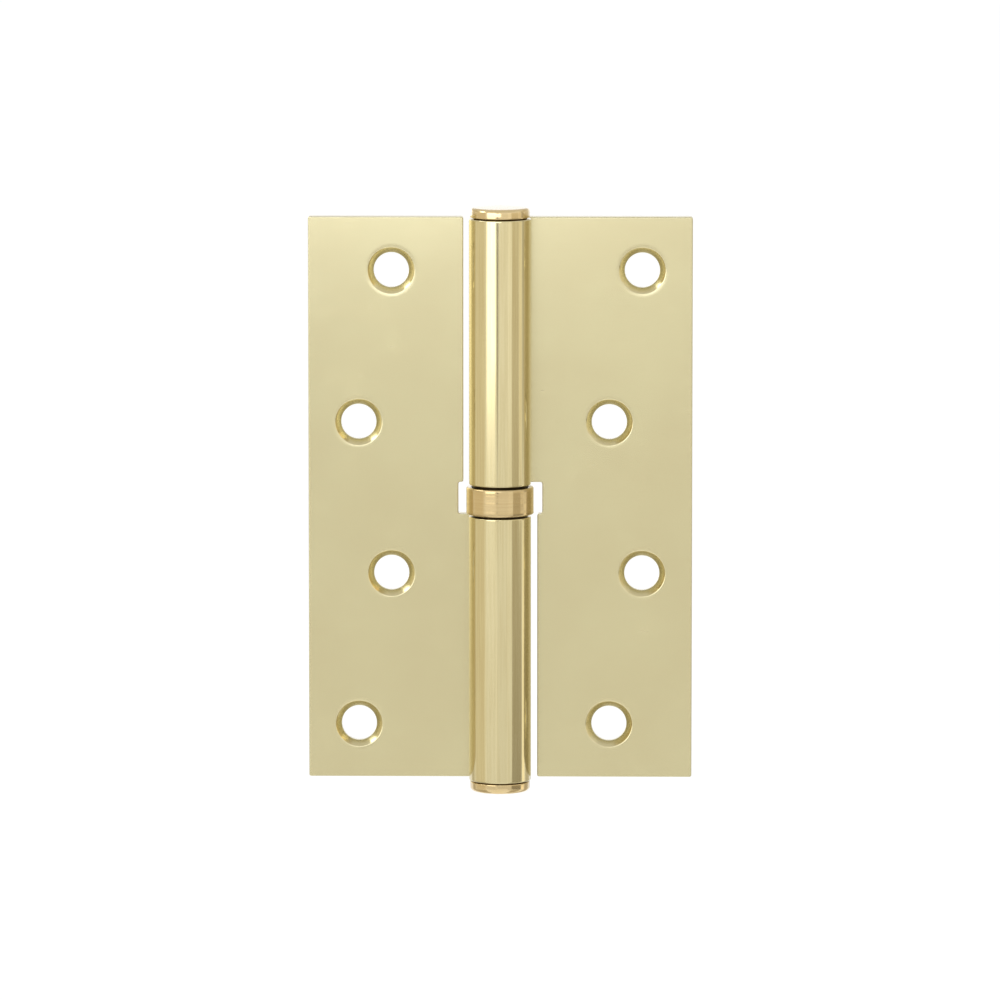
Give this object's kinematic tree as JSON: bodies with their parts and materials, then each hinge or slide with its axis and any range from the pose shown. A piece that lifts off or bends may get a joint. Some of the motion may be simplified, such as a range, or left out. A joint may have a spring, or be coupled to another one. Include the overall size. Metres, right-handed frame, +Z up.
{
  "type": "lift-off hinge",
  "caption": "Lift-off door hinge: countersunk sheet leaves with rolled knuckles turn on a fixed pin and a ball-bearing collar, and the door leaf lifts off upwards.",
  "frame": {"origin": "on the pin axis, halfway up the barrel", "axes": "+Z up the pin, +X towards the door leaf with the hinge open flat, -Y towards the countersunk faces"},
  "size_m": [0.068, 0.012, 0.104],
  "materials": {
    "satin_brass": "satin brass plating on steel sheet",
    "polished_brass": "polished brass plating on steel",
    "bright_steel": "ground bearing steel, lightly oiled",
    "cage_nylon": "natural nylon"
  },
  "bodies": {
    "frame": {"frame_leaf": "satin_brass", "hinge_pin": "bright_steel", "bottom_cap": "polished_brass", "bearing_shell": "polished_brass", "lower_race": "bright_steel"},
    "cage": {"ball_cage": "cage_nylon", "bearing_balls": "bright_steel"},
    "race": {"upper_race": "bright_steel"},
    "door": {"door_leaf": "satin_brass", "top_cap": "polished_brass"}
  },
  "joints": [
    {"name": "leaf_swing", "type": "hinge", "parent": "frame", "child": "race", "pos_m": [0, 0, 0], "axis": [0, 0, -1], "range_deg": [-90, 180]},
    {"name": "cage_orbit", "type": "hinge", "parent": "frame", "child": "cage", "pos_m": [0, 0, 0], "axis": [0, 0, -1], "range_deg": [-45, 90]},
    {"name": "lift_off", "type": "slide", "parent": "race", "child": "door", "axis": [0, 0, 1], "range_m": [0, 0.05]}
  ],
  "couplings": [
    {"joint": "cage_orbit", "follows": "leaf_swing", "ratio": 0.5}
  ]
}
